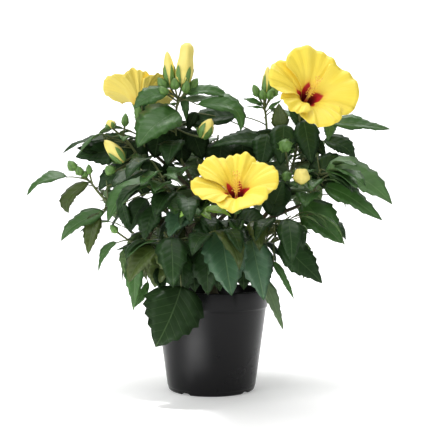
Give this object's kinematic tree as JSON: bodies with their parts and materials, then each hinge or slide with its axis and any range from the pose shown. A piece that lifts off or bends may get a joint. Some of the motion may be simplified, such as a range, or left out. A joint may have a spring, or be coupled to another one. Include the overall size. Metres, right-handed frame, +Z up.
{
  "type": "potted hibiscus shrub",
  "caption": "Bushy hibiscus shrub with large funnel-shaped blooms, buds and pointed oval leaves on a short forked trunk, standing in a round tapered nursery pot.",
  "frame": {"origin": "centre of the pot's flat underside", "axes": "+Z up along the trunk, -Y the front of the shrub, +X to the right seen from the front"},
  "size_m": [0.4147, 0.3427, 0.394],
  "materials": {
    "foliage": "slightly glossy leaf",
    "petals": "soft petal",
    "bark": "rough bark",
    "earth": "crumbly potting soil",
    "plastic": "satin moulded plastic"
  },
  "bodies": {
    "root": {"bloom_front": "petals", "bloom_left": "petals", "bloom_right": "petals", "bough_back": "bark", "bough_back_left_high": "bark", "bough_back_left_low": "bark", "bough_back_low": "bark", "bough_back_right_high": "bark", "bough_back_right_low": "bark", "bough_far_left": "bark", "bough_front_bloom": "bark", "bough_front_left": "bark", "bough_front_low": "bark", "bough_front_mid": "bark", "bough_front_right": "bark", "bough_left_bloom": "bark", "bough_left_high": "bark", "bough_left_low": "bark", "bough_left_mid": "bark", "bough_right": "bark", "bough_right_high": "bark", "bough_top": "bark", "bough_top_right": "bark", "foliage_back": "foliage", "foliage_back_left_high": "foliage", "foliage_back_left_low": "foliage", "foliage_back_low": "foliage", "foliage_back_right_high": "foliage", "foliage_back_right_low": "foliage", "foliage_far_left": "foliage", "foliage_front_bloom": "foliage", "foliage_front_left": "foliage", "foliage_front_low": "foliage", "foliage_front_mid": "foliage", "foliage_front_right": "foliage", "foliage_left_bloom": "foliage", "foliage_left_high": "foliage", "foliage_left_low": "foliage", "foliage_left_mid": "foliage", "foliage_right": "foliage", "foliage_right_high": "foliage", "foliage_top": "foliage", "foliage_top_right": "foliage", "pot": "plastic", "soil": "earth", "trunk": "bark"}
  },
  "joints": []
}
